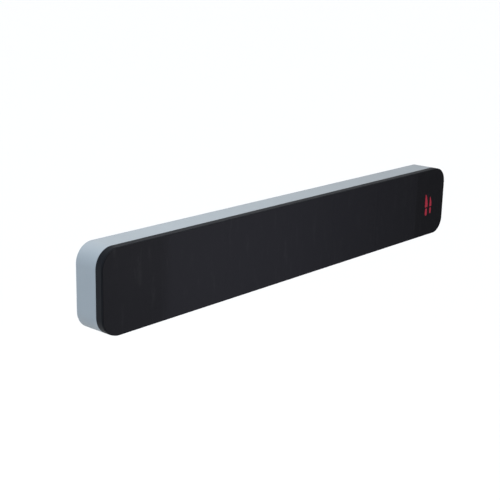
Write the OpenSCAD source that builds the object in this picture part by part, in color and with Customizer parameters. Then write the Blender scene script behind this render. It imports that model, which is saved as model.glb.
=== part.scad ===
// Wall-mounted magnetic knife rack for a butcher's or deli counter.
//
// Frame: origin at the wall plane, in the middle of the rack's outline. +X runs along the rack,
// +Z is up and the knives are held on the face at -Y. A depth is a distance from the wall, so a
// layer from depth a to depth b fills y = -b ... -a.

/* [Rack] */
// Overall length of the rack
rack_l = 300; // [300:2:340]
// Overall height of the rack
rack_h = 43.5; // [43:0.5:48]
// Radius of the four outline corners
corner_r = 10; // [9:0.5:10]
// Depth of the rear housing, from the wall to the joint line
housing_d = 14; // [13.5:0.5:15]
// Depth of the front cover's visible band
cover_d = 4; // [3.5:0.5:5]
// Thickness of the rubber grip skin
skin_t = 1; // [0.8:0.1:1.2]

/* [Magnets] */
// Distance from one magnet cell to the next
cell_pitch = 45.4; // [44:0.2:45.6]
// How far the magnet bay sits off centre along the rack
bay_shift = 3.8; // [0:0.2:4]
// Height of one ferrite block
magnet_h = 14; // [12:0.5:14]
// Thickness of one ferrite block
magnet_t = 8; // [7:0.5:8]
// Thickness of the steel keeper behind the blocks
keeper_t = 2; // [1.5:0.5:2]

/* [Wall fixing] */
// Length of the wall bracket
bracket_l = 280; // [276:2:284]
// Thickness of the wall bracket
bracket_t = 2; // [1.8:0.1:2.1]
// Distance between the two wall screw holes
wall_screw_span = 220; // [180:10:230]
// Radius of a wall screw hole
wall_hole_r = 2; // [1.8:0.1:2.2]
// Distance from the middle of the rack to each bracket stud
stud_x = 129; // [128:0.5:129]
// Lift that brings the stud heads in line with the entry holes
release_lift = 8.5; // [8:0.5:9]

/* [Hidden] */
$fn = 64;

// colours
grey_plastic = [0.68, 0.72, 0.76];
black_plastic = [0.17, 0.17, 0.18];
black_rubber = [0.12, 0.12, 0.13];
zinc = [0.74, 0.76, 0.78];
dark_steel = [0.55, 0.56, 0.58];
ferrite = [0.24, 0.23, 0.23];
mark_red = [0.75, 0.16, 0.2];
foam_black = [0.2, 0.2, 0.2];

// how far a cut runs past the surface it opens, and how far a rib or boss runs into its base
cut = 1;
sink = 0.5;

// depths of the layers, counted from the wall
recess_d = 3;
back_wall_t = 2;
floor_d = recess_d + back_wall_t;
face_wall_t = 1.2;
glue_gap = 0.1;
cover_front_d = housing_d + cover_d;
face_d = cover_front_d + skin_t;
pocket_floor_d = cover_front_d - face_wall_t;
magnet_front_d = pocket_floor_d - glue_gap;
magnet_back_d = magnet_front_d - magnet_t;
keeper_back_d = magnet_back_d - keeper_t;

// walls and gaps of the two shells
wall_t = 2.5;
rim_w = 2.2;
spigot_gap = 0.15;
spigot_t = 1.6;
spigot_d = 3;
skin_inset = 0.15;

// magnet bay: five cells of two blocks, one above and one below the middle web
cells = 5;
rib_t = 1.4;
block_gap = 0.1;
web_h = 4.8;
magnet_l = cell_pitch - rib_t - 2 * block_gap;
bay_end_t = 2.5;
bay_l = cells * cell_pitch;
bay_wall_t = 1.5;
row_z = web_h / 2 + block_gap + magnet_h / 2;
bay_h = 2 * (row_z + magnet_h / 2 + block_gap);
frame_back_d = magnet_back_d + 0.1;
keeper_l = bay_l + 2 * bay_end_t + 2;
keeper_h = bay_h - 1;
keeper_r = 2;
support_rib_t = 1.6;
support_rib_z = keeper_h / 2 - 3;

// keeper screws: along the web, one at each cell boundary
keeper_screw_r = 1;
keeper_hole_r = 1.2;
keeper_head_r = 2.1;
keeper_head_t = 1.2;
keeper_screw_l = 8;
keeper_screw_end_d = keeper_back_d + keeper_screw_l;
pilot_gap = 0.05;

// housing screws: one in each outline corner, from behind
corner_boss_r = 4;
cover_boss_r = 3.2;
boss_x = rack_l / 2 - corner_r;
boss_z = rack_h / 2 - corner_r;
boss_joint_d = 9;
screw_r = 1.35;
screw_hole_r = 1.7;
screw_head_r = 2.7;
screw_head_t = 1.8;
counterbore_r = 3;
counterbore_d = 2.4;
screw_end_d = pocket_floor_d - 1.5;

// keyholes: the stud hangs in the slot's round top end, above the entry hole
neck_r = 2;
head_r = 4.5;
head_t = 1.6;
collar_r = 3.4;
collar_t = 0.6;
rest_gap = 0.3;
slot_r = neck_r + rest_gap;
entry_r = head_r + 0.6;
wall_clearance = 0.3;
stud_z = 5;
entry_z = stud_z - release_lift;
keyhole_plate_t = 1;
keyhole_plate_w = 13.4;
keyhole_plate_top = stud_z + 7;
keyhole_plate_bottom = entry_z - entry_r - 2.4;
head_back_d = floor_d + keyhole_plate_t + rest_gap;
head_front_d = head_back_d + head_t;
stake_x = 4.9;
stake_top_z = keyhole_plate_top - 2;
stake_bottom_z = keyhole_plate_bottom + 2;
stake_r = 1;
stake_hole_r = 1.05;
stake_head_r = 1.8;
stake_head_t = 0.7;
stake_head_d = floor_d + keyhole_plate_t;

// bracket: its lower edge stops the rack just above the release height
lift_stop_gap = 0.6;
bracket_bottom = -rack_h / 2 + rim_w + release_lift + lift_stop_gap;
bracket_top = rack_h / 2 - rim_w - 2;
bracket_h = bracket_top - bracket_bottom;
bracket_z = (bracket_top + bracket_bottom) / 2;
bracket_r = 5;
tail_r = 1.95;
tail_hole_r = 2;
countersink_d = bracket_t - 0.5;
flare = 0.1;
pad_l = 26;
pad_h = 7;
pad_t = 0.8;
pad_span = 120;

// red mark on the right-hand end of the face: two plain knives side by side
mark_x = rack_l / 2 - 18;
mark_z = -3;
mark_d = 0.4;
mark_gap = 0.02;
// for each knife: place along the mark, blade width, blade length, handle length
mark_knives = [[-2.4, 3, 8.4, 4.8], [2.6, 2.2, 6.4, 4]];
blade_gap = 0.8;
handle_share = 0.7;

// ---------- helpers ----------

// extrudes an outline drawn in X and Z from depth a to depth b
module layer(a, b) {
    translate([0, -a, 0])
        rotate([90, 0, 0])
            linear_extrude(b - a)
                children();
}

module rounded_rect(w, h, r) {
    square([w - 2 * r, h], center = true);
    square([w, h - 2 * r], center = true);
    for (sx = [-1, 1], sz = [-1, 1])
        translate([sx * (w / 2 - r), sz * (h / 2 - r)])
            circle(r);
}

// the rack's outline, moved inwards by an inset
module outline(inset = 0) {
    rounded_rect(rack_l - 2 * inset, rack_h - 2 * inset, corner_r - inset);
}

module rod(r, a, b) {
    layer(a, b) circle(r);
}

// places a child at each outline corner
module at_corners() {
    for (sx = [-1, 1], sz = [-1, 1])
        translate([sx * boss_x, 0, sz * boss_z])
            children();
}

// a point on the boundary between two magnet cells, counted from the left
function boundary_x(i) = bay_shift + (i - cells / 2) * cell_pitch;

function cell_x(i) = bay_shift + (i - (cells + 1) / 2) * cell_pitch;

// an entry hole with a narrower slot rising from it
module keyhole(extra = 0) {
    translate([0, entry_z]) circle(entry_r + extra);
    translate([0, stud_z]) circle(slot_r + extra);
    translate([-slot_r - extra, entry_z]) square([2 * (slot_r + extra), release_lift]);
}

module at_stakes() {
    for (sx = [-1, 1], z = [stake_top_z, stake_bottom_z])
        translate([sx * stake_x, 0, z])
            children();
}

// a pan-head screw, its head behind depth a
module pan_screw(r, head_r, head_t, a, b) {
    bevel = 0.5;
    rotate([90, 0, 0])
        rotate_extrude()
            polygon([
                [0, a - head_t], [head_r - bevel, a - head_t], [head_r, a - head_t + bevel],
                [head_r, a], [r, a], [r, b - r], [0, b]
            ]);
}

// ---------- wall bracket ----------

// a 90 degree countersink that opens at the bracket's front face, with a short straight land behind
module countersink() {
    depth = countersink_d + flare;
    translate([0, countersink_d - bracket_t, 0])
        rotate([90, 0, 0])
            cylinder(h = depth, r1 = wall_hole_r, r2 = wall_hole_r + depth);
}

module bracket_plate() {
    color(zinc)
        difference() {
            translate([0, 0, bracket_z])
                layer(0, bracket_t) rounded_rect(bracket_l, bracket_h, bracket_r);
            for (s = [-1, 1]) {
                translate([s * wall_screw_span / 2, 0, bracket_z]) {
                    rod(wall_hole_r, -cut, bracket_t + cut);
                    countersink();
                }
                translate([s * stud_x, 0, stud_z])
                    rod(tail_hole_r, -cut, bracket_t + cut);
            }
        }
}

// a turned stud: riveting tail, collar, neck and domed head
module bracket_stud(side) {
    color(zinc)
        translate([side * stud_x, 0, stud_z])
            rotate([90, 0, 0])
                rotate_extrude()
                    polygon([
                        [0, 0], [tail_r, 0], [tail_r, bracket_t], [collar_r, bracket_t],
                        [collar_r, bracket_t + collar_t], [neck_r, bracket_t + collar_t],
                        [neck_r, head_back_d], [head_r, head_back_d],
                        [head_r, head_front_d - 0.6], [head_r - 0.8, head_front_d],
                        [0, head_front_d]
                    ]);
}

module bracket_pads() {
    color(foam_black)
        for (s = [-1, 1])
            translate([s * pad_span / 2, 0, bracket_z])
                layer(bracket_t, bracket_t + pad_t)
                    rounded_rect(pad_l, pad_h, 1.5);
}

// ---------- rear housing ----------

// longitudinal ribs and cross ribs that carry the keeper
module keeper_supports() {
    layer(floor_d - sink, keeper_back_d) {
        for (s = [-1, 1])
            translate([bay_shift, s * support_rib_z])
                square([keeper_l, support_rib_t], center = true);
        for (i = [0 : cells - 1])
            translate([cell_x(i + 1), 0])
                square([support_rib_t, 2 * support_rib_z], center = true);
    }
}

module rear_housing() {
    color(grey_plastic)
        difference() {
            union() {
                difference() {
                    layer(0, housing_d) outline();
                    layer(floor_d, housing_d + cut) outline(wall_t);
                }
                keeper_supports();
                at_corners()
                    rod(corner_boss_r, floor_d - sink, boss_joint_d);
                for (s = [-1, 1])
                    translate([s * stud_x, 0, 0])
                        at_stakes() {
                            rod(stake_r, floor_d - sink, stake_head_d + sink);
                            rod(stake_head_r, stake_head_d, stake_head_d + stake_head_t);
                        }
            }
            layer(-cut, recess_d) outline(rim_w);
            for (s = [-1, 1])
                translate([s * stud_x, 0, 0])
                    layer(recess_d - cut, floor_d + cut) keyhole(wall_clearance);
            at_corners() {
                rod(counterbore_r, recess_d - cut, recess_d + counterbore_d);
                rod(screw_hole_r, recess_d - cut, boss_joint_d + cut);
            }
        }
}

module keyhole_plate(side) {
    color(dark_steel)
        translate([side * stud_x, 0, 0])
            layer(floor_d, floor_d + keyhole_plate_t)
                difference() {
                    translate([-keyhole_plate_w / 2, keyhole_plate_bottom])
                        square([keyhole_plate_w, keyhole_plate_top - keyhole_plate_bottom]);
                    keyhole();
                    for (sx = [-1, 1], z = [stake_top_z, stake_bottom_z])
                        translate([sx * stake_x, z])
                            circle(stake_hole_r);
                }
}

module housing_screws() {
    color(zinc)
        at_corners()
            pan_screw(screw_r, screw_head_r, screw_head_t, recess_d + counterbore_d, screw_end_d);
}

// ---------- magnet system ----------

module keeper_plate() {
    color(dark_steel)
        translate([bay_shift, 0, 0])
            layer(keeper_back_d, magnet_back_d)
                difference() {
                    rounded_rect(keeper_l, keeper_h, keeper_r);
                    for (i = [0 : cells])
                        translate([boundary_x(i) - bay_shift, 0])
                            circle(keeper_hole_r);
                }
}

module keeper_screws() {
    color(zinc)
        for (i = [0 : cells])
            translate([boundary_x(i), 0, 0])
                pan_screw(keeper_screw_r, keeper_head_r, keeper_head_t,
                    keeper_back_d, keeper_screw_end_d);
}

// row is 1 for the upper blocks and -1 for the lower ones
module magnet(row, i) {
    color(ferrite)
        translate([cell_x(i), 0, row * row_z])
            layer(magnet_back_d, magnet_front_d)
                square([magnet_l, magnet_h], center = true);
}

// ---------- front cover ----------

// pockets for the blocks, two in each cell
module magnet_pockets() {
    for (i = [1 : cells], row = [-1, 1])
        translate([cell_x(i), row * row_z])
            square([magnet_l + 2 * block_gap, magnet_h + 2 * block_gap], center = true);
}

module front_cover() {
    color(black_plastic)
        difference() {
            union() {
                layer(housing_d, cover_front_d) outline();
                layer(housing_d - spigot_d, housing_d + sink) outline(wall_t + spigot_gap);
                translate([bay_shift, 0, 0])
                    layer(frame_back_d, housing_d + sink)
                        square([bay_l + 2 * bay_end_t, bay_h + 2 * bay_wall_t], center = true);
                at_corners()
                    rod(cover_boss_r, boss_joint_d, housing_d + sink);
            }
            // the open space inside the spigot, around the bay and the corner bosses
            difference() {
                layer(housing_d - spigot_d - cut, pocket_floor_d)
                    outline(wall_t + spigot_gap + spigot_t);
                translate([bay_shift, 0, 0])
                    layer(0, cover_front_d)
                        square([bay_l + 2 * bay_end_t, bay_h + 2 * bay_wall_t], center = true);
                at_corners()
                    rod(cover_boss_r, 0, cover_front_d);
            }
            layer(frame_back_d - cut, pocket_floor_d) magnet_pockets();
            for (i = [0 : cells])
                translate([boundary_x(i), 0, 0])
                    rod(keeper_screw_r + pilot_gap, frame_back_d - cut, keeper_screw_end_d + cut);
            at_corners()
                rod(screw_r + pilot_gap, boss_joint_d - cut, screw_end_d + sink);
        }
}

// ---------- face ----------

// a knife standing blade up: a pointed blade with one curved edge, and a round-cornered handle below
module knife_pictogram(blade_w, blade_l, handle_l, grow) {
    blade_r = 2 * blade_l;
    handle_w = handle_share * blade_w;
    translate([0, -(blade_gap + handle_l) / 2])
        rounded_rect(handle_w + 2 * grow, handle_l + 2 * grow, handle_w / 2 - 0.1);
    translate([0, blade_gap / 2])
        intersection() {
            translate([-blade_w / 2 - grow, -grow])
                square([blade_w + 2 * grow, blade_l + 2 * grow]);
            translate([blade_w / 2 - blade_r, 0])
                circle(blade_r + grow, $fn = 128);
        }
}

module mark_outline(grow = 0) {
    for (k = mark_knives)
        translate([mark_x + k[0], mark_z])
            knife_pictogram(k[1], k[2], k[3], grow);
}

module grip_skin() {
    color(black_rubber)
        difference() {
            layer(cover_front_d, face_d) outline(skin_inset);
            layer(face_d - mark_d, face_d + cut) mark_outline(mark_gap);
        }
}

module front_mark() {
    color(mark_red)
        layer(face_d - mark_d, face_d) mark_outline();
}

bracket_plate();
bracket_stud(-1);  // bracket_stud_left
bracket_stud(1);  // bracket_stud_right
bracket_pads();
rear_housing();
keyhole_plate(-1);  // keyhole_plate_left
keyhole_plate(1);  // keyhole_plate_right
housing_screws();
keeper_plate();
keeper_screws();
magnet(1, 1);  // magnet_upper_1
magnet(1, 2);  // magnet_upper_2
magnet(1, 3);  // magnet_upper_3
magnet(1, 4);  // magnet_upper_4
magnet(1, 5);  // magnet_upper_5
magnet(-1, 1);  // magnet_lower_1
magnet(-1, 2);  // magnet_lower_2
magnet(-1, 3);  // magnet_lower_3
magnet(-1, 4);  // magnet_lower_4
magnet(-1, 5);  // magnet_lower_5
front_cover();
grip_skin();
front_mark();
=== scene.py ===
"""Looks of the magnetic knife rack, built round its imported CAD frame.

Lengths in the mesh code are millimetres in the frame's axes: X along the rack, Z up. A depth is a
distance from the wall, so a point at depth d has y = -d. Objects are scaled to metres as they are made.
"""
import math

import bmesh
import bpy
from mathutils import Matrix, Vector


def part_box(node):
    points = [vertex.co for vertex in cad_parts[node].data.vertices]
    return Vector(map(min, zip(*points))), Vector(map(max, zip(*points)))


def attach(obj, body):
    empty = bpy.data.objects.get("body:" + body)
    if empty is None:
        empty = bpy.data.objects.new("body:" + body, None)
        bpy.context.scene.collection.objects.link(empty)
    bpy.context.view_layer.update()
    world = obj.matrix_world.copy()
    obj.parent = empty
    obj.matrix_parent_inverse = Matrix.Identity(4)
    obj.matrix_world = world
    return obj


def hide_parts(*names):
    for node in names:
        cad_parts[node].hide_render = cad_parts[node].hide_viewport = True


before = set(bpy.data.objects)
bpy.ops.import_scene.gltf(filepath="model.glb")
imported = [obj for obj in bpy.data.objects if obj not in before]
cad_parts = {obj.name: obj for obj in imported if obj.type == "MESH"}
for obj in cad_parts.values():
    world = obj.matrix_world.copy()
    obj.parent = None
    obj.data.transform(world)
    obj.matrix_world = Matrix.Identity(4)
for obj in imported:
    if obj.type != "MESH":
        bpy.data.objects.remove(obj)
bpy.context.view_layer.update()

MM = 0.001


# ---------- sizes read from the frame ----------

def size_mm(node):
    """(x, depth, z) extents of a CAD node: each is (low, high) in millimetres."""
    low, high = (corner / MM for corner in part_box(node))
    return (low.x, high.x), (-high.y, -low.y), (low.z, high.z)


def span(pair):
    return pair[1] - pair[0]


def middle(pair):
    return (pair[0] + pair[1]) / 2


HOUSING_X, HOUSING_D, HOUSING_Z = size_mm("rear_housing")
_, COVER_D, _ = size_mm("front_cover")
SKIN_X, SKIN_D, _ = size_mm("grip_skin")
MARK_X, MARK_D, MARK_Z = size_mm("front_mark")
BRACKET_X, BRACKET_D, BRACKET_Z = size_mm("bracket_plate")
STUD_X, STUD_D, STUD_Z = size_mm("bracket_stud_right")
KEEPER_X, KEEPER_D, KEEPER_Z = size_mm("keeper_plate")
PLATE_X, PLATE_D, PLATE_Z = size_mm("keyhole_plate_right")
_, HOUSING_SCREWS_D, _ = size_mm("housing_screws")
BLOCK_X, _, BLOCK_Z = size_mm("magnet_upper_1")

RACK_L = span(HOUSING_X)
RACK_H = span(HOUSING_Z)
JOINT_D = HOUSING_D[1]
FACE_D = SKIN_D[1]
FLOOR_D = PLATE_D[0]
STUD_OUT = middle(STUD_X)
STUD_UP = middle(STUD_Z)
STUD_XS = (-STUD_OUT, STUD_OUT)
BLOCK_L = span(BLOCK_X)
FRAME_BACK_D = COVER_D[0]

# sizes that no box tells, the same as in the CAD source: the two shells
CORNER_R = 10.0
WALL = 2.5
RIM = 2.2
RECESS_D = 3.0
SPIGOT_INSET = 2.65
SPIGOT_T = 1.6
SPIGOT_L = 3.0
POCKET_FLOOR_D = 16.8
BOSS_JOINT_D = 9.0
BOSS_X = RACK_L / 2 - CORNER_R
BOSS_Z = RACK_H / 2 - CORNER_R
HOUSING_BOSS_R = 4.0
COVER_BOSS_R = 3.2

# the magnet bay
CELLS = 5
CELL_PITCH = 45.4
BAY_X = middle(KEEPER_X)
BAY_WALL = 1.5
BLOCK_GAP = 0.1
KEEPER_MARGIN = 1.0
RIB_T = 1.6
RIB_Z = span(KEEPER_Z) / 2 - 3

# the screws: head radius, head thickness, seat depth, shank radius, end depth, thread pitch
SCREW_SEAT_D = RECESS_D + 2.4
KEEPER_SCREW_END = KEEPER_D[0] + 8.0
HOUSING_SCREW = (2.7, 1.8, SCREW_SEAT_D, 1.35, HOUSING_SCREWS_D[1], 1.2)
KEEPER_SCREW = (2.1, 1.2, KEEPER_D[0], 1.0, KEEPER_SCREW_END, 0.9)
SCREW_HOLE_R = 1.7
COUNTERBORE_R = 3.0
HOUSING_PILOT_R = 1.4
KEEPER_PILOT_R = 1.05
KEEPER_HOLE_R = 1.2

# the wall fixing
RELEASE_LIFT = 8.5
ENTRY_R = 5.1
SLOT_R = 2.3
KEYHOLE_CLEARANCE = 0.3
STAKE_X = 4.9
STAKE_INSET = 2.0
STAKE_R = 1.0
STAKE_HOLE_R = 1.05
STAKE_HEAD_R = 1.8
STAKE_HEAD_T = 0.7
WALL_SCREW_X = 110.0
WALL_HOLE_R = 2.0
TAIL_HOLE_R = 2.0
COUNTERSINK_LAND = 0.5
BRACKET_R = 5.0
PAD_L = 26.0

# for each knife of the mark: place from its left, blade width, blade length, handle length
MARK_KNIVES = ((1.5, 3.0, 8.4, 4.8), (6.5, 2.2, 6.4, 4.0))
BLADE_GAP = 0.8
HANDLE_SHARE = 0.7

# sizes that only the looks have
JOINT_CHAMFER = 0.14
EJECTOR_COUNT = 7
EJECTOR_PITCH = 38.0
EJECTOR_R = 2.0
EJECTOR_Z = -15.0
SINK_DEPTH = 0.13
SINK_WIDTH = 1.1
END_DROP = 0.13

# how far a cut runs past the surface it opens, and where ribs and bosses start inside the floor
PAST = 1.0
ROOT_D = FLOOR_D - 0.5

# the camera: its direction from the rack, its roll, and where it aims, right of and above the origin
CAMERA_AZIMUTH = -49.28
CAMERA_ELEVATION = 15.48
CAMERA_ROLL = 1.39
CAMERA_DISTANCE = 617.1
CAMERA_AIM = (-16.04, -9.99)
CAMERA_LENS = 77.0

# the studio, in metres and degrees: the floor's greyer patch, painted shade under the rack, fades out over
# SHADE_PATCH_EDGE beyond SHADE_PATCH_R, and the sky goes from its horizon strength to its upper strength
# between the SKY_FADE heights
FLOOR_HALF = 60.0
FLOOR_Z = -0.6
SHADE_PATCH_R = 0.2
SHADE_PATCH_EDGE = 0.55
SKY_FADE = (0.04, 0.26)
SKY_STRENGTH = (1.06, 0.5)
SUN_STRENGTH = 1.82
SUN_SPREAD = 60.0
CLIP_RANGE = (0.01, 200)


# ---------- mesh helpers ----------

def finish_mesh(name, bm, smooth_angle=35.0):
    """Turns a bmesh in millimetres into an object in metres, with smooth faces and crisp edges."""
    bmesh.ops.recalc_face_normals(bm, faces=bm.faces)
    mesh = bpy.data.meshes.new(name)
    bm.to_mesh(mesh)
    bm.free()
    mesh.transform(Matrix.Scale(MM, 4))
    piece = bpy.data.objects.new(name, mesh)
    bpy.context.scene.collection.objects.link(piece)
    shade(piece, smooth_angle)
    return piece


def shade(piece, smooth_angle=35.0):
    piece.data.shade_smooth()
    piece.data.set_sharp_from_angle(angle=math.radians(smooth_angle))


def loft(bm, outline, profile):
    """A closed solid whose cross-section follows profile, a list of (depth, inset) steps.

    outline(inset) gives the ring's (x, z) points. Both ends are closed with a flat face."""
    rings = []
    for depth, inset in profile:
        rings.append([bm.verts.new((x, -depth, z)) for x, z in outline(inset)])
    for near, far in zip(rings, rings[1:]):
        count = len(near)
        for i in range(count):
            j = (i + 1) % count
            bm.faces.new((near[i], near[j], far[j], far[i]))
    bm.faces.new(rings[0])
    bm.faces.new(list(reversed(rings[-1])))
    return bm


def soften(corners, steps=5):
    """Rounds a profile's right-angled corners.

    corners is a list of (depth, inset) or (depth, inset, radius); the result is (depth, inset) steps."""
    path = []
    for i, (depth, inset, *radius) in enumerate(corners):
        here = Vector((depth, inset))
        if not radius:
            path.append((depth, inset))
            continue
        back = (Vector(corners[i - 1][:2]) - here).normalized() * radius[0]
        ahead = (Vector(corners[i + 1][:2]) - here).normalized() * radius[0]
        for step in range(steps + 1):
            a = math.pi / 2 * step / steps
            path.append(tuple(here + back * (1 - math.sin(a)) + ahead * (1 - math.cos(a))))
    return path


def rounded_rect(length, height, radius, x=0.0, z=0.0, per_corner=10):
    """An outline function of a rectangle with round corners, centred on (x, z)."""
    corners = [(1, 1), (-1, 1), (-1, -1), (1, -1)]

    def points(inset):
        r = max(radius - inset, 0.02)
        ring = []
        for k, (sx, sz) in enumerate(corners):
            cx = x + sx * (length / 2 - inset - r)
            cz = z + sz * (height / 2 - inset - r)
            for i in range(per_corner + 1):
                a = math.pi / 2 * (k + i / per_corner)
                ring.append((cx + r * math.cos(a), cz + r * math.sin(a)))
        return ring

    return points


def round_outline(radius, x=0.0, z=0.0, segments=32):
    def points(inset):
        r = radius - inset
        turn = 2 * math.pi / segments
        return [(x + r * math.cos(i * turn), z + r * math.sin(i * turn)) for i in range(segments)]

    return points


def keyhole_outline(x, clearance=0.0, steps=28):
    """The entry hole at x with a narrower, round-topped slot rising from it to the stud's rest place."""
    entry_z = STUD_UP - RELEASE_LIFT

    def points(inset):
        big = ENTRY_R + clearance - inset
        small = SLOT_R + clearance - inset
        meet = math.acos(small / big)
        ring = []
        for i in range(steps + 1):
            a = math.pi - meet + (math.pi + 2 * meet) * i / steps
            ring.append((x + big * math.cos(a), entry_z + big * math.sin(a)))
        for i in range(steps + 1):
            a = math.pi * i / steps
            ring.append((x + small * math.cos(a), STUD_UP + small * math.sin(a)))
        return ring

    return points


def stakes(x):
    """Where the four heat stakes round the keyhole at x stand."""
    rows = (PLATE_Z[1] - STAKE_INSET, PLATE_Z[0] + STAKE_INSET)
    return [(x + dx, z) for dx in (-STAKE_X, STAKE_X) for z in rows]


def boolean(piece, tool, how):
    """Joins tool to piece or cuts it away, and removes tool."""
    step = piece.modifiers.new(how, "BOOLEAN")
    step.operation = how
    step.solver = "EXACT"
    step.object = tool
    graph = bpy.context.evaluated_depsgraph_get()
    mesh = bpy.data.meshes.new_from_object(piece.evaluated_get(graph))
    piece.modifiers.clear()
    piece.data = mesh
    bpy.data.objects.remove(tool)
    bm = bmesh.new()
    bm.from_mesh(mesh)
    bmesh.ops.remove_doubles(bm, verts=bm.verts, dist=1e-6)
    bmesh.ops.dissolve_degenerate(bm, edges=bm.edges, dist=1e-6)
    bm.to_mesh(mesh)
    bm.free()
    shade(piece)
    return piece


def cut(piece, build):
    """build(bm) draws the solids to cut away."""
    bm = bmesh.new()
    build(bm)
    return boolean(piece, finish_mesh("tool", bm), "DIFFERENCE")


def add(piece, build):
    bm = bmesh.new()
    build(bm)
    return boolean(piece, finish_mesh("tool", bm), "UNION")


def solid(name, build):
    bm = bmesh.new()
    build(bm)
    return finish_mesh(name, bm)


def even_normals(piece):
    """Keeps the big flat faces flat beside their rounded edges."""
    step = piece.modifiers.new("even normals", "WEIGHTED_NORMAL")
    step.keep_sharp = True
    step.weight = 90
    return piece


def place(piece, body, node, material):
    piece.data.materials.clear()
    piece.data.materials.append(material)
    even_normals(piece)
    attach(piece, body)
    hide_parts(node)
    return piece


# ---------- material helpers ----------

class Shader:
    """A small builder for one principled material in object coordinates."""

    def __init__(self, name):
        self.material = bpy.data.materials.new(name)
        self.material.use_nodes = True
        self.tree = self.material.node_tree
        self.bsdf = self.tree.nodes["Principled BSDF"]
        coordinates = self.tree.nodes.new("ShaderNodeTexCoord")
        self.place = coordinates.outputs["Object"]

    def set(self, **values):
        for name, value in values.items():
            self.bsdf.inputs[name.replace("_", " ")].default_value = value
        return self

    def link(self, start, end):
        self.tree.links.new(start, end)

    def stretched(self, scale):
        mapping = self.tree.nodes.new("ShaderNodeMapping")
        mapping.inputs["Scale"].default_value = scale
        self.link(self.place, mapping.inputs["Vector"])
        return mapping.outputs["Vector"]

    def axis(self, name):
        """One object coordinate, in metres."""
        node = self.tree.nodes.new("ShaderNodeSeparateXYZ")
        self.link(self.place, node.inputs["Vector"])
        return node.outputs[name]

    def noise(self, size_mm, detail=2.0, roughness=0.5, stretch=None):
        """Noise whose blobs are about size_mm across; stretch scales it per axis."""
        node = self.tree.nodes.new("ShaderNodeTexNoise")
        node.inputs["Scale"].default_value = 1 / (size_mm * MM)
        node.inputs["Detail"].default_value = detail
        node.inputs["Roughness"].default_value = roughness
        self.link(self.stretched(stretch) if stretch else self.place, node.inputs["Vector"])
        return node.outputs["Fac"]

    def cells(self, size_mm, feature="F1", randomness=1.0):
        node = self.tree.nodes.new("ShaderNodeTexVoronoi")
        node.feature = feature
        node.inputs["Scale"].default_value = 1 / (size_mm * MM)
        node.inputs["Randomness"].default_value = randomness
        self.link(self.place, node.inputs["Vector"])
        return node

    def ramp(self, source, start, end, low=0.0, high=1.0):
        """Maps source from start...end to low...high."""
        node = self.tree.nodes.new("ShaderNodeMapRange")
        node.inputs["From Min"].default_value = start
        node.inputs["From Max"].default_value = end
        node.inputs["To Min"].default_value = low
        node.inputs["To Max"].default_value = high
        self.link(source, node.inputs["Value"])
        return node.outputs["Result"]

    def math(self, how, first, second):
        node = self.tree.nodes.new("ShaderNodeMath")
        node.operation = how
        for socket, value in zip(node.inputs, (first, second)):
            if isinstance(value, (int, float)):
                socket.default_value = value
            else:
                self.link(value, socket)
        return node.outputs["Value"]

    def mix(self, factor, low, high):
        """A colour between low and high, each a colour or another mix."""
        node = self.tree.nodes.new("ShaderNodeMix")
        node.data_type = "RGBA"
        self.link(factor, node.inputs["Factor"])
        for socket, value in ((node.inputs[6], low), (node.inputs[7], high)):
            if isinstance(value, tuple):
                socket.default_value = (*value, 1)
            else:
                self.link(value, socket)
        return node.outputs[2]

    def bump(self, height, depth_mm, strength=1.0, below=None):
        node = self.tree.nodes.new("ShaderNodeBump")
        node.inputs["Strength"].default_value = strength
        node.inputs["Distance"].default_value = depth_mm * MM
        self.link(height, node.inputs["Height"])
        if below is not None:
            self.link(below, node.inputs["Normal"])
        return node.outputs["Normal"]

    def finish(self, colour=None, roughness=None, normal=None):
        for name, socket in (("Base Color", colour), ("Roughness", roughness), ("Normal", normal)):
            if socket is not None:
                self.link(socket, self.bsdf.inputs[name])
        return self.material


def moulded_plastic(name, dark, light, rough, grain_mm, grain_depth, specular, scuff):
    """Satin moulded plastic: a fine eroded grain, faint flow clouds and rubbed patches."""
    s = Shader(name).set(Specular_IOR_Level=specular)
    clouds = s.noise(38, detail=3)
    grain = s.noise(grain_mm, detail=3, roughness=0.6)
    speckle = s.noise(grain_mm * 3.5, detail=1)
    rubbed = s.ramp(s.noise(9, detail=5, roughness=0.65), 0.52, 0.72)
    colour = s.mix(s.ramp(clouds, 0.3, 0.7), dark, light)
    texture = s.math("ADD", s.math("MULTIPLY", grain, 0.7), s.math("MULTIPLY", speckle, 0.3))
    base = s.ramp(texture, 0.3, 0.7, rough - 0.04, rough + 0.05)
    roughness = s.math("SUBTRACT", base, s.math("MULTIPLY", rubbed, scuff))
    waves = s.bump(s.noise(16, detail=1), 0.05, 0.25)
    return s.finish(colour, roughness, s.bump(texture, grain_depth, 0.6, below=waves))


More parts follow.
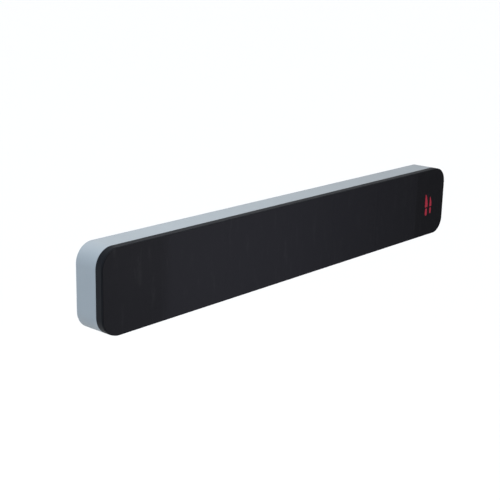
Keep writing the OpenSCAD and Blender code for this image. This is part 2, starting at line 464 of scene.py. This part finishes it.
def grip_rubber(name, dark, light, specular, bay=None, painted_edge_light=None):
    """Matte rubber: a fine pebble, faint upright blade scuffs, and dust in the grain.

    bay is the (low, high) stretch along the rack that is painted a little paler, fading in slowly on its
    left: painted light, standing in for the light that falls off beyond the bay.
    painted_edge_light is a paler colour painted on the sheet's edge, behind its face: painted light that
    brightens the shaded side of the sheet."""
    s = Shader(name).set(Specular_IOR_Level=specular)
    pebble = s.cells(0.42, "SMOOTH_F1").outputs["Distance"]
    fine = s.noise(0.16, detail=2)
    clouds = s.noise(55, detail=3)
    scuffs = s.ramp(s.noise(3.0, detail=6, roughness=0.7, stretch=(1.0, 1.0, 0.16)), 0.56, 0.74)
    dust = s.ramp(s.noise(0.5, detail=4, roughness=0.7), 0.66, 0.8)
    body = s.mix(s.ramp(clouds, 0.32, 0.68), dark, light)
    # painted light: the bay is painted paler than the ends, where the light falls off
    if bay:
        along = s.axis("X")
        inside = s.math("MULTIPLY", s.ramp(along, (bay[0] - 3) * MM, (bay[0] + 5) * MM),
                        s.ramp(along, (bay[1] + 1) * MM, (bay[1] - 1) * MM))
        body = s.mix(inside, body, tuple(c * 1.26 for c in light))
    # painted light: the sheet's side, behind the face, is painted paler to brighten its shade
    if painted_edge_light:
        behind_face = s.ramp(s.axis("Y"), -(FACE_D - 0.2) * MM, -(FACE_D - 0.4) * MM)
        body = s.mix(behind_face, body, painted_edge_light)
    worn = s.mix(s.math("MULTIPLY", scuffs, 0.06), body, (0.03, 0.03, 0.034))
    colour = s.mix(s.math("MULTIPLY", dust, 0.04), worn, (0.06, 0.06, 0.064))
    texture = s.math("ADD", s.math("MULTIPLY", pebble, 0.6), s.math("MULTIPLY", fine, 0.5))
    roughness = s.math("SUBTRACT", s.ramp(texture, 0.2, 0.8, 0.66, 0.8), s.math("MULTIPLY", scuffs, 0.1))
    waves = s.bump(clouds, 0.12, 0.3)
    return s.finish(colour, roughness, s.bump(texture, 0.05, 0.7, below=waves))


def plated_steel(name, colour, rough, brushed, patch_mm):
    """Zinc-plated steel: crystalline patches, fine drawing lines and dull spots.

    brushed scales the lines' noise per axis: a small value draws them out along that axis."""
    s = Shader(name).set(Metallic=1.0)
    patches = s.cells(patch_mm).outputs["Color"]
    lines = s.noise(0.5, detail=4, roughness=0.7, stretch=brushed)
    spots = s.ramp(s.noise(6, detail=5, roughness=0.7), 0.55, 0.75)
    darker = tuple(c * 0.8 for c in colour)
    tint = s.mix(s.math("MULTIPLY", patches, 0.5), colour, darker)
    dull = s.mix(s.math("MULTIPLY", spots, 0.35), tint, tuple(c * 0.55 for c in colour))
    base = s.math("ADD", s.math("MULTIPLY", lines, 0.16), rough - 0.08)
    roughness = s.math("ADD", base, s.math("MULTIPLY", spots, 0.12))
    return s.finish(dull, roughness, s.bump(lines, 0.02, 0.5))


def sintered_ferrite(name):
    """Grey-black ceramic with a coarse grain, pits darkened with painted shade, and ground faces."""
    s = Shader(name).set(Specular_IOR_Level=0.45)
    grain = s.noise(0.35, detail=5, roughness=0.7)
    pits = s.ramp(s.cells(1.1).outputs["Distance"], 0.0, 0.18, 1.0, 0.0)
    ground = s.noise(0.3, detail=3, stretch=(0.1, 1.0, 1.0))
    colour = s.mix(grain, (0.028, 0.027, 0.027), (0.075, 0.07, 0.066))
    # painted shade: the colour goes darker in the pits, where shade would fall
    pit_shaded = s.mix(pits, colour, (0.015, 0.014, 0.014))
    roughness = s.ramp(ground, 0.3, 0.7, 0.42, 0.68)
    height = s.math("SUBTRACT", s.math("MULTIPLY", grain, 0.6), pits)
    return s.finish(pit_shaded, roughness, s.bump(height, 0.08, 0.6))


def closed_foam(name):
    """Black cellular rubber with open-cut cells."""
    s = Shader(name).set(Specular_IOR_Level=0.2)
    cells = s.cells(0.5).outputs["Distance"]
    mottling = s.noise(2.5, detail=4)
    colour = s.mix(mottling, (0.016, 0.016, 0.017), (0.04, 0.04, 0.042))
    roughness = s.ramp(cells, 0.1, 0.6, 0.95, 0.75)
    return s.finish(colour, roughness, s.bump(cells, 0.25, 0.9))


GREY_ABS = moulded_plastic(
    "grey_abs", (0.270, 0.300, 0.324), (0.284, 0.315, 0.340),
    rough=0.56, grain_mm=0.22, grain_depth=0.02, specular=0.25, scuff=0.07)
BLACK_ABS = moulded_plastic(
    "black_abs", (0.0050, 0.0060, 0.0082), (0.0072, 0.0082, 0.0108),
    rough=0.5, grain_mm=0.22, grain_depth=0.02, specular=0.095, scuff=0.08)
# the paler bay and the paler sheet edge given here are painted light, not the rubber's own colour
BLACK_RUBBER = grip_rubber(
    "black_rubber", (0.0024, 0.0024, 0.0034), (0.0029, 0.0029, 0.0040),
    specular=0.04, bay=(BAY_X - CELLS * CELL_PITCH / 2, BAY_X + CELLS * CELL_PITCH / 2),
    painted_edge_light=(0.0105, 0.0110, 0.0130))
RED_INLAY = grip_rubber("red_inlay", (0.16, 0.008, 0.018), (0.20, 0.011, 0.023), specular=0.1)
ZINC = plated_steel("zinc_steel", (0.50, 0.52, 0.545), 0.34, brushed=(0.06, 1.0, 1.0), patch_mm=2.4)
STUD_STEEL = plated_steel("stud_steel", (0.60, 0.61, 0.63), 0.30, brushed=(1.0, 0.1, 1.0), patch_mm=1.0)
SCREW_STEEL = plated_steel("screw_steel", (0.56, 0.57, 0.59), 0.32, brushed=(1.0, 0.1, 1.0), patch_mm=0.8)
KEEPER_STEEL = plated_steel(
    "keeper_steel", (0.44, 0.45, 0.47), 0.42, brushed=(0.05, 1.0, 1.0), patch_mm=3.0)
FERRITE = sintered_ferrite("ferrite")
FOAM = closed_foam("foam")


# ---------- shared outlines and places ----------

RACK_OUTLINE = rounded_rect(RACK_L, RACK_H, CORNER_R, per_corner=24)
CORNERS = [(sx * BOSS_X, sz * BOSS_Z) for sx in (-1, 1) for sz in (-1, 1)]
BOUNDARIES = [BAY_X + (i - CELLS / 2) * CELL_PITCH for i in range(CELLS + 1)]
CELL_MIDDLES = [(a + b) / 2 for a, b in zip(BOUNDARIES, BOUNDARIES[1:])]
SIDES = (-1, 1)


# ---------- rear housing ----------

def make_housing():
    """Grey shell: cavity floor, wall, joint face, outer wall, rear rim and the bracket's recess."""
    middle_inset = 5.0
    fillet = 0.4
    chamfer = 0.3
    profile = soften([
        (FLOOR_D, middle_inset), (FLOOR_D, WALL, 0.6), (JOINT_D, WALL, 0.25),
        (JOINT_D, 0.0, JOINT_CHAMFER), (0.0, 0.0, chamfer), (0.0, RIM, chamfer),
        (RECESS_D, RIM, fillet), (RECESS_D, middle_inset)])
    housing = solid("rear_shell", lambda bm: loft(bm, RACK_OUTLINE, profile))
    rib_steps = [(ROOT_D, 0), (KEEPER_D[0] - 0.2, 0), (KEEPER_D[0], 0.2)]

    def ribs_and_bosses(bm):
        for side in SIDES:
            loft(bm, rounded_rect(span(KEEPER_X), RIB_T, 0.3, BAY_X, side * RIB_Z, 3), rib_steps)
        for x, z in CORNERS:
            loft(bm, round_outline(HOUSING_BOSS_R, x, z, 40), [
                (ROOT_D, -fillet), (FLOOR_D, -fillet), (FLOOR_D + fillet, 0),
                (BOSS_JOINT_D - chamfer, 0), (BOSS_JOINT_D, chamfer)])

    def cross_ribs(bm):
        for x in CELL_MIDDLES:
            loft(bm, rounded_rect(RIB_T, 2 * RIB_Z, 0.3, x, 0, 3), rib_steps)

    def heat_stakes(bm):
        shank_inset = STAKE_HEAD_R - STAKE_R
        top = PLATE_D[1] + STAKE_HEAD_T
        for x in STUD_XS:
            for stake_x, stake_z in stakes(x):
                loft(bm, round_outline(STAKE_HEAD_R, stake_x, stake_z, 24), [
                    (ROOT_D, shank_inset), (PLATE_D[1], shank_inset), (PLATE_D[1], 0.0),
                    (top - 0.35, 0.1), (top - 0.1, 0.5), (top, 1.0)])

    def openings(bm):
        keyhole_chamfer = 0.35
        for x in STUD_XS:
            loft(bm, keyhole_outline(x, KEYHOLE_CLEARANCE), [
                (RECESS_D - PAST, -keyhole_chamfer), (RECESS_D, -keyhole_chamfer),
                (RECESS_D + keyhole_chamfer, 0), (FLOOR_D + 0.01, 0)])
        counterbore_chamfer = 0.25
        hole_inset = COUNTERBORE_R - SCREW_HOLE_R
        for x, z in CORNERS:
            loft(bm, round_outline(COUNTERBORE_R, x, z, 40), [
                (RECESS_D - PAST, -counterbore_chamfer), (RECESS_D, -counterbore_chamfer),
                (RECESS_D + counterbore_chamfer, 0), (SCREW_SEAT_D, 0),
                (SCREW_SEAT_D, hole_inset), (BOSS_JOINT_D + PAST, hole_inset)])

    def ejector_marks(bm):
        mark_depth = 0.12
        for i in range(EJECTOR_COUNT):
            x = (i - (EJECTOR_COUNT - 1) / 2) * EJECTOR_PITCH
            loft(bm, round_outline(EJECTOR_R, x, EJECTOR_Z, 32), [
                (RECESS_D - PAST, 0), (RECESS_D + mark_depth, 0)])

    add(housing, ribs_and_bosses)
    add(housing, cross_ribs)
    add(housing, heat_stakes)
    cut(housing, openings)
    cut(housing, ejector_marks)
    return place(housing, "rack", "rear_housing", GREY_ABS)


def make_keyhole_plate(node, x):
    """Steel wear plate behind a keyhole, with its four stake holes."""
    back, front = PLATE_D
    burr = 0.15
    outline = rounded_rect(span(PLATE_X), span(PLATE_Z), 0.8, x, middle(PLATE_Z), 6)
    profile = soften([(back, 3), (back, 0, 0.12), (front, 0, 0.2), (front, 3)], 3)
    plate = solid(node.replace("plate", "wear_plate"), lambda bm: loft(bm, outline, profile))

    def holes(bm):
        loft(bm, keyhole_outline(x), [
            (back - PAST, -burr), (back, -burr), (back + burr, 0), (front + PAST, 0)])
        for stake_x, stake_z in stakes(x):
            loft(bm, round_outline(STAKE_HOLE_R, stake_x, stake_z, 24), [(back - PAST, 0), (front + PAST, 0)])

    cut(plate, holes)
    return place(plate, "rack", node, KEEPER_STEEL)


# ---------- screws ----------

def screw_solid(bm, x, z, kind):
    """A pan-head screw with a rolled thread, drawn as rings from its head to its point."""
    head_r, head_t, seat_d, shank_r, end_d, pitch = kind
    flat_share, dome_share = 0.55, 0.6
    thread_h = 0.22
    point_l, point_r = 1.6, 0.15
    dome_steps = 5
    top_d = seat_d - head_t
    shank_inset = head_r - shank_r
    profile = []
    for i in range(dome_steps + 1):
        a = math.pi / 2 * i / dome_steps
        profile.append((top_d + dome_share * head_t * (1 - math.cos(a)),
                        head_r * (1 - flat_share) * (1 - math.sin(a))))
    profile += [(seat_d, 0.0), (seat_d, shank_inset)]
    depth = seat_d + pitch
    while depth < end_d - point_l:
        for share, drop in ((0.0, thread_h), (0.35, thread_h), (0.5, 0.0), (0.65, thread_h)):
            profile.append((depth + share * pitch, shank_inset + drop))
        depth += pitch
    profile.append((end_d, head_r - point_r))
    loft(bm, round_outline(head_r, x, z, 32), profile)


def make_screws(name, node, places, kind):
    """All the screws of one kind, as separate solids in one piece, each with a cross recess."""
    head_r, head_t, seat_d = kind[:3]
    screws = solid(name, lambda bm: [screw_solid(bm, x, z, kind) for x, z in places])

    def slots(width, height):
        def draw(bm):
            for x, z in places:
                outline = rounded_rect(head_r * width, head_r * height, 0.1, x, z, 3)
                loft(bm, outline, [(seat_d - head_t - 0.5, 0.0), (seat_d - 0.45 * head_t, 0.1)])

        return draw

    cut(screws, slots(1.1, 0.3))
    cut(screws, slots(0.3, 1.1))
    return place(screws, "rack", node, SCREW_STEEL)


# ---------- magnet system ----------

def make_keeper():
    """Mild steel strip with a hole over each screw, a little rolled over at the edges."""
    back, front = KEEPER_D
    burr = 0.15
    outline = rounded_rect(span(KEEPER_X), span(KEEPER_Z), 2.0, BAY_X, 0, 8)
    profile = soften([(back, 3), (back, 0, 0.3), (front, 0, 0.15), (front, 3)], 3)
    keeper = solid("keeper_strip", lambda bm: loft(bm, outline, profile))

    def holes(bm):
        for x in BOUNDARIES:
            loft(bm, round_outline(KEEPER_HOLE_R, x, 0, 24), [
                (back - PAST, -burr), (back, -burr), (back + burr, 0), (front + PAST, 0)])

    cut(keeper, holes)
    return place(keeper, "rack", "keeper_plate", KEEPER_STEEL)


def make_magnet(node):
    """A sintered block: ground pole faces, chamfered pressing edges and softly rounded corners."""
    xs, (back, front), zs = size_mm(node)
    outline = rounded_rect(span(xs), span(zs), 0.9, middle(xs), middle(zs), 6)
    edge = ((0.0, 0.5), (0.35, 0.12), (0.8, 0.0))
    profile = [(back + into, inset) for into, inset in edge]
    profile += [(front - into, inset) for into, inset in reversed(edge)]
    block = solid(node.replace("magnet", "ferrite_block"), lambda bm: loft(bm, outline, profile))
    return place(block, "rack", node, FERRITE)


# ---------- front cover ----------

def make_cover():
    """Black cover: face wall, spigot, joint face and the band that shows, with the magnet frame inside."""
    inner = SPIGOT_INSET + SPIGOT_T
    spigot_d = JOINT_D - SPIGOT_L
    middle_inset = 6.0
    fillet = 0.4
    profile = soften([
        (POCKET_FLOOR_D, middle_inset), (POCKET_FLOOR_D, inner, 0.5), (spigot_d, inner, 0.2),
        (spigot_d, SPIGOT_INSET, 0.4), (JOINT_D, SPIGOT_INSET, 0.15), (JOINT_D, 0.0, JOINT_CHAMFER),
        (COVER_D[1], 0.0, 0.14), (COVER_D[1], middle_inset)])
    cover = solid("cover_shell", lambda bm: loft(bm, RACK_OUTLINE, profile))

    def magnet_frame(bm):
        chamfer = 0.15
        length = span(KEEPER_X) - 2 * KEEPER_MARGIN
        height = 2 * (BLOCK_Z[1] + BLOCK_GAP + BAY_WALL)
        loft(bm, rounded_rect(length, height, 0.6, BAY_X, 0, 4), [
            (FRAME_BACK_D, chamfer), (FRAME_BACK_D + chamfer, 0), (POCKET_FLOOR_D + fillet, 0)])

    def corner_bosses(bm):
        chamfer = 0.2
        for x, z in CORNERS:
            loft(bm, round_outline(COVER_BOSS_R, x, z, 40), [
                (BOSS_JOINT_D, chamfer), (BOSS_JOINT_D + chamfer, 0), (POCKET_FLOOR_D - fillet, 0),
                (POCKET_FLOOR_D, -fillet), (POCKET_FLOOR_D + fillet, -fillet)])

    def pockets(bm):
        lead_in = 0.3
        length = BLOCK_L + 2 * BLOCK_GAP
        height = span(BLOCK_Z) + 2 * BLOCK_GAP
        for x in CELL_MIDDLES:
            for side in SIDES:
                loft(bm, rounded_rect(length, height, 0.25, x, side * middle(BLOCK_Z), 3), [
                    (FRAME_BACK_D - PAST, -lead_in), (FRAME_BACK_D, -lead_in),
                    (FRAME_BACK_D + lead_in, 0), (POCKET_FLOOR_D, 0)])

    def pilot_holes(bm):
        for x in BOUNDARIES:
            loft(bm, round_outline(KEEPER_PILOT_R, x, 0, 20), [
                (FRAME_BACK_D - PAST, 0), (KEEPER_SCREW_END + PAST, 0)])
        for x, z in CORNERS:
            loft(bm, round_outline(HOUSING_PILOT_R, x, z, 24), [
                (BOSS_JOINT_D - PAST, 0), (HOUSING_SCREWS_D[1] + 0.5, 0)])

    add(cover, magnet_frame)
    add(cover, corner_bosses)
    cut(cover, pockets)
    cut(cover, pilot_holes)
    return place(cover, "rack", "front_cover", BLACK_ABS)


# ---------- face ----------

def knife_outlines(from_left, blade_w, blade_l, handle_l):
    """Outline functions of one small knife's handle and blade, standing blade up.

    The blade has a straight back on the left and its cutting edge on an arc at the right."""
    x = MARK_X[0] + from_left
    tip = MARK_Z[1] - (MARK_KNIVES[0][2] - blade_l)
    heel = tip - blade_l
    handle_w = HANDLE_SHARE * blade_w
    handle = rounded_rect(handle_w, handle_l, handle_w / 2 - 0.1, x, heel - BLADE_GAP - handle_l / 2, 8)

    edge_steps = 12

    def blade(inset):
        left = x - blade_w / 2 + inset
        radius = 2 * blade_l
        points = [(left, tip - inset), (left, heel + inset)]
        for i in range(edge_steps + 1):
            rise = inset + (blade_l - 2 * inset) * i / edge_steps
            out = math.sqrt((radius - inset) ** 2 - rise ** 2) - radius
            points.append((x + blade_w / 2 + out, heel + rise))
        return points

    return handle, blade


MARK_OUTLINES = [outline for knife in MARK_KNIVES for outline in knife_outlines(*knife)]


def make_mark():
    """The two small red knives, let into the rubber."""
    edge = 0.04

    def both(bm):
        for outline in MARK_OUTLINES:
            loft(bm, outline, [(MARK_D[0], 0.0), (MARK_D[1] - edge, 0.0), (MARK_D[1], edge)])

    mark = solid("knife_pictograms", both)
    return place(mark, "rack", "front_mark", RED_INLAY)


def make_skin():
    """Rubber face: a full-outline sheet whose front follows the magnet cells behind it.

    The rubber sinks by SINK_DEPTH over each joint between two cells and by END_DROP beyond the bay.
    Both fade out towards the top and bottom edges, so that these stay straight."""
    edge = RACK_L / 2 - SKIN_X[1]
    middle_inset = 6.0
    profile = soften([
        (SKIN_D[0], middle_inset), (SKIN_D[0], edge, 0.12), (FACE_D, edge, 0.18), (FACE_D, middle_inset)])
    bm = loft(bmesh.new(), RACK_OUTLINE, profile)
    steps = (-2.4, -1.6, -1.0, -0.5, 0.0, 0.5, 1.0, 1.6, 2.4)
    end_fade = 3.2
    edge_margin, edge_fade = 1.2, 2.4
    for x in BOUNDARIES:
        for dx in steps:
            slice_mesh(bm, (x + dx, 0, 0), (1, 0, 0))
    for side in SIDES:
        for margin in (edge_margin, 2.2, edge_margin + edge_fade):
            slice_mesh(bm, (0, 0, side * (RACK_H / 2 - margin)), (0, 0, 1))
    for v in bm.verts:
        if v.co.y < -FACE_D + 0.001:
            near = min(abs(v.co.x - x) for x in BOUNDARIES)
            dip = SINK_DEPTH * math.exp(-(near / SINK_WIDTH) ** 2)
            outside = max(BOUNDARIES[0] - v.co.x, v.co.x - BOUNDARIES[-1])
            dip = max(dip, END_DROP * ease(outside / end_fade + 0.5))
            margin = RACK_H / 2 - abs(v.co.z)
            v.co.y += dip * ease((margin - edge_margin) / edge_fade)
    skin = finish_mesh("rubber_face", bm, smooth_angle=20)

    def mark_pocket(bm):
        gap, lip = 0.02, 0.06
        for outline in MARK_OUTLINES:
            loft(bm, outline, [
                (MARK_D[0], -gap), (FACE_D - lip, -gap), (FACE_D, -gap - lip), (FACE_D + PAST, -gap - lip)])

    cut(skin, mark_pocket)
    return place(skin, "rack", "grip_skin", BLACK_RUBBER)


def ease(share):
    """0 below 0, 1 above 1 and a smooth step between."""
    share = min(max(share, 0.0), 1.0)
    return share * share * (3 - 2 * share)


def slice_mesh(bm, point, normal):
    """Adds a line of vertices where a plane crosses the mesh."""
    geometry = bm.verts[:] + bm.edges[:] + bm.faces[:]
    bmesh.ops.bisect_plane(bm, geom=geometry, dist=1e-5, plane_co=point, plane_no=normal)


# ---------- wall bracket ----------

def make_bracket():
    """Zinc-plated plate: rolled edges on the punch side, countersunk screw holes, stud holes."""
    front = BRACKET_D[1]
    middle_inset = 6
    outline = rounded_rect(span(BRACKET_X), span(BRACKET_Z), BRACKET_R, 0, middle(BRACKET_Z), 12)
    profile = soften([(0.0, middle_inset), (0.0, 0, 0.15), (front, 0, 0.45), (front, middle_inset)], 4)
    plate = solid("bracket_strip", lambda bm: loft(bm, outline, profile))

    def holes(bm):
        flare = front - COUNTERSINK_LAND
        for side in SIDES:
            loft(bm, round_outline(WALL_HOLE_R, side * WALL_SCREW_X, middle(BRACKET_Z), 40), [
                (-PAST, 0), (COUNTERSINK_LAND, 0), (front + 0.1, -flare - 0.1)])
            loft(bm, round_outline(TAIL_HOLE_R, side * STUD_OUT, STUD_UP, 32), [
                (-PAST, 0), (front + PAST, 0)])

    cut(plate, holes)
    return place(plate, "wall_bracket", "bracket_plate", ZINC)


def make_stud(node, x):
    """A turned stud: peened tail, collar, necked shank and domed head."""
    head_r = span(STUD_Z) / 2
    tail, collar, neck = 1.95, 3.4, 2.0
    collar_t, head_t, dome_t = 0.6, 1.6, 0.75
    peen, bevel, fillet = 0.12, 0.1, 0.15
    dome_share = 0.38
    dome_steps = 6
    collar_back = BRACKET_D[1]
    collar_front = collar_back + collar_t
    front = STUD_D[1]
    back = front - head_t
    steps = [(peen, 0.7), (0.0, 1.1), (0.0, tail - peen), (peen, tail), (collar_back, tail),
             (collar_back, collar - bevel), (collar_back + bevel, collar),
             (collar_front - bevel, collar), (collar_front, collar - bevel),
             (collar_front, neck + fillet), (collar_front + fillet, neck),
             (back - fillet, neck), (back, neck + fillet),
             (back, head_r - fillet), (back + fillet, head_r)]
    for i in range(dome_steps + 1):
        a = math.pi / 2 * i / dome_steps
        steps.append((front - dome_t * (1 - math.sin(a)), head_r * (1 - dome_share * (1 - math.cos(a)))))
    profile = [(depth, head_r - radius) for depth, radius in steps]
    stud = solid(node.replace("bracket", "headed"), lambda bm: loft(
        bm, round_outline(head_r, x, STUD_UP, 48), profile))
    return place(stud, "wall_bracket", node, STUD_STEEL)


def make_pads():
    """Two foam strips, their cut sides pressed in a little."""
    xs, (back, front), zs = size_mm("bracket_pads")

    def both(bm):
        for side in SIDES:
            x = side * (xs[1] - PAD_L / 2)
            loft(bm, rounded_rect(PAD_L, span(zs), 1.5, x, middle(zs), 6), [
                (back, 0.0), (back + 0.3, 0.12), (front - 0.3, 0.12), (front - 0.12, 0.2), (front, 0.45)])

    pads = solid("foam_pads", both)
    return place(pads, "wall_bracket", "bracket_pads", FOAM)


# ---------- build ----------

make_housing()
make_keyhole_plate("keyhole_plate_left", -STUD_OUT)
make_keyhole_plate("keyhole_plate_right", STUD_OUT)
make_screws("corner_screws", "housing_screws", CORNERS, HOUSING_SCREW)
make_screws("keeper_strip_screws", "keeper_screws", [(x, 0) for x in BOUNDARIES], KEEPER_SCREW)
make_keeper()
for row in ("upper", "lower"):
    for i in range(CELLS):
        make_magnet(f"magnet_{row}_{i + 1}")
make_cover()
make_skin()
make_mark()
make_bracket()
make_stud("bracket_stud_left", -STUD_OUT)
make_stud("bracket_stud_right", STUD_OUT)
make_pads()


# ---------- floor, light and camera ----------

def make_floor():
    """A wide pale floor, well below the wall-mounted rack, with a greyer patch of painted shade right under
    it that darkens the light bouncing up onto the rack's underside.
    """
    bm = bmesh.new()
    bmesh.ops.create_grid(bm, x_segments=24, y_segments=24, size=FLOOR_HALF)
    mesh = bpy.data.meshes.new("floor")
    bm.to_mesh(mesh)
    bm.free()
    floor = bpy.data.objects.new("floor", mesh)
    floor.location = (0, 0, FLOOR_Z)
    bpy.context.scene.collection.objects.link(floor)
    s = Shader("floor").set(Roughness=0.9, Specular_IOR_Level=0.05)
    away = s.tree.nodes.new("ShaderNodeVectorMath")
    away.operation = "LENGTH"
    s.link(s.place, away.inputs[0])
    # painted shade: the floor is greyer within this patch under the rack
    pale = s.ramp(away.outputs["Value"], SHADE_PATCH_R, SHADE_PATCH_R + SHADE_PATCH_EDGE)
    floor.data.materials.append(s.finish(s.mix(pale, (0.42, 0.425, 0.43), (0.93, 0.935, 0.94))))


def area_light(name, location, target, size, energy, colour=(1, 1, 1)):
    """A soft box that shines from location towards target."""
    light = bpy.data.lights.new(name, "AREA")
    light.shape = "RECTANGLE"
    light.size, light.size_y = size
    light.energy = energy
    light.color = colour
    lamp = bpy.data.objects.new(name, light)
    lamp.visible_camera = False
    lamp.location = location
    lamp.rotation_mode = "QUATERNION"
    lamp.rotation_quaternion = (Vector(target) - Vector(location)).to_track_quat("-Z", "Y")
    bpy.context.scene.collection.objects.link(lamp)
    return lamp


def sun_light(name, direction, strength, spread):
    """A distant soft light that comes from direction and lights the whole floor evenly."""
    light = bpy.data.lights.new(name, "SUN")
    light.energy = strength
    light.angle = math.radians(spread)
    lamp = bpy.data.objects.new(name, light)
    lamp.rotation_mode = "QUATERNION"
    lamp.rotation_quaternion = Vector(direction).to_track_quat("Z", "Y")
    bpy.context.scene.collection.objects.link(lamp)


def make_world(colour):
    """A soft sky that is brightest along the horizon, where it meets the floor."""
    world = bpy.data.worlds.new("studio")
    bpy.context.scene.world = world
    world.use_nodes = True
    tree = world.node_tree
    direction = tree.nodes.new("ShaderNodeTexCoord").outputs["Generated"]
    parts = tree.nodes.new("ShaderNodeSeparateXYZ")
    fade = tree.nodes.new("ShaderNodeMapRange")
    fade.interpolation_type = "SMOOTHSTEP"
    fade.inputs["From Min"].default_value, fade.inputs["From Max"].default_value = SKY_FADE
    fade.inputs["To Min"].default_value, fade.inputs["To Max"].default_value = SKY_STRENGTH
    background = tree.nodes["Background"]
    background.inputs["Color"].default_value = (*colour, 1)
    tree.links.new(direction, parts.inputs["Vector"])
    tree.links.new(parts.outputs["Z"], fade.inputs["Value"])
    tree.links.new(fade.outputs["Result"], background.inputs["Strength"])


def make_camera():
    """A camera that looks down on the left end of the rack, slightly rolled."""
    azimuth, elevation, roll = (math.radians(a) for a in (CAMERA_AZIMUTH, CAMERA_ELEVATION, CAMERA_ROLL))
    back = Vector((math.sin(azimuth) * math.cos(elevation), -math.cos(azimuth) * math.cos(elevation),
                   math.sin(elevation)))
    right = (-back).cross(Vector((0, 0, 1))).normalized()
    up = back.cross(right)
    turned_right = right * math.cos(roll) + up * math.sin(roll)
    turned_up = up * math.cos(roll) - right * math.sin(roll)
    target = (turned_right * CAMERA_AIM[0] + turned_up * CAMERA_AIM[1]) * MM
    data = bpy.data.cameras.new("camera")
    data.sensor_width = 36
    data.lens = CAMERA_LENS
    data.clip_start, data.clip_end = CLIP_RANGE
    camera = bpy.data.objects.new("camera", data)
    axes = Matrix((turned_right, turned_up, back)).transposed()
    camera.matrix_world = Matrix.Translation(target + back * CAMERA_DISTANCE * MM) @ axes.to_4x4()
    bpy.context.scene.collection.objects.link(camera)
    bpy.context.scene.camera = camera


make_floor()
make_world((0.97, 0.985, 1.0))
sun_light("overhead", (0.1, -0.1, 1.0), SUN_STRENGTH, SUN_SPREAD)
area_light("face", (-0.055, -0.23, 0.0), target=(-0.055, 0, 0), size=(0.1, 0.07), energy=1.14)
area_light("top left", (-0.1, 0.0, 0.25), target=(-0.1, 0, 0), size=(0.24, 0.1), energy=0.31)
area_light("end", (-0.5, -0.12, 0.2), target=(-0.15, 0, 0), size=(0.25, 0.2), energy=0.52,
           colour=(0.7, 1.05, 1.4))
make_camera()
bpy.context.scene.view_settings.view_transform = "Standard"
